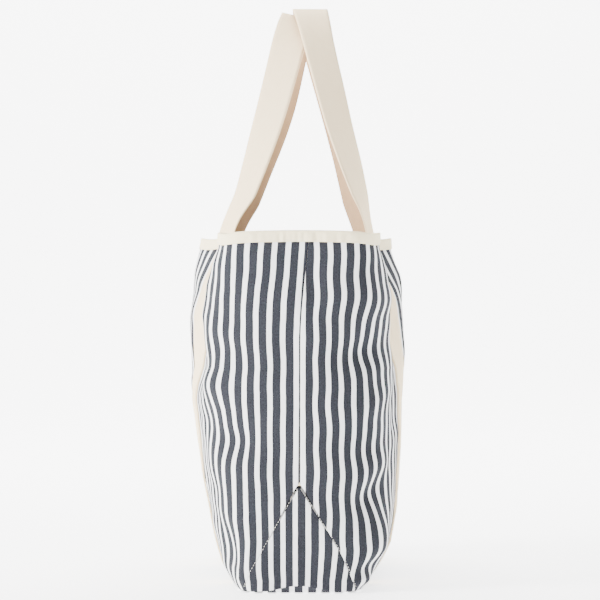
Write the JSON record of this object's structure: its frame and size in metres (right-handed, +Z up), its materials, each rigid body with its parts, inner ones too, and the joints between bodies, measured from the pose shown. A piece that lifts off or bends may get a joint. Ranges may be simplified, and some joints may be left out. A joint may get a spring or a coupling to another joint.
{
  "type": "canvas tote bag",
  "caption": "Open-topped striped canvas tote bag with a flat base, triangular end gussets, a taped rim and long webbing handles that swing outwards.",
  "frame": {"origin": "on the floor, under the middle of the base", "axes": "+Z up, X along the bag's width, -Y towards its front panel"},
  "size_m": [0.4624, 0.233, 0.6211],
  "materials": {
    "striped_canvas": "woven navy chambray and white stripes, matte",
    "natural_tape": "plain-woven natural cotton tape, matte",
    "natural_webbing": "ribbed natural cotton webbing, matte"
  },
  "bodies": {
    "bag": {"front_panel": "striped_canvas", "back_panel": "striped_canvas", "left_end_gusset": "striped_canvas", "right_end_gusset": "striped_canvas", "base_panel": "striped_canvas", "rim_binding": "natural_tape", "front_left_strap": "natural_webbing", "front_right_strap": "natural_webbing", "back_left_strap": "natural_webbing", "back_right_strap": "natural_webbing"},
    "front_handle": {"front_handle": "natural_webbing"},
    "back_handle": {"back_handle": "natural_webbing"}
  },
  "joints": [
    {"name": "front_handle_swing", "type": "hinge", "parent": "bag", "child": "front_handle", "pos_m": [0, -0.0887, 0.3732], "axis": [1, 0, 0], "range_deg": [0, 170]},
    {"name": "back_handle_swing", "type": "hinge", "parent": "bag", "child": "back_handle", "pos_m": [0, 0.0887, 0.3732], "axis": [-1, 0, 0], "range_deg": [0, 170]}
  ]
}
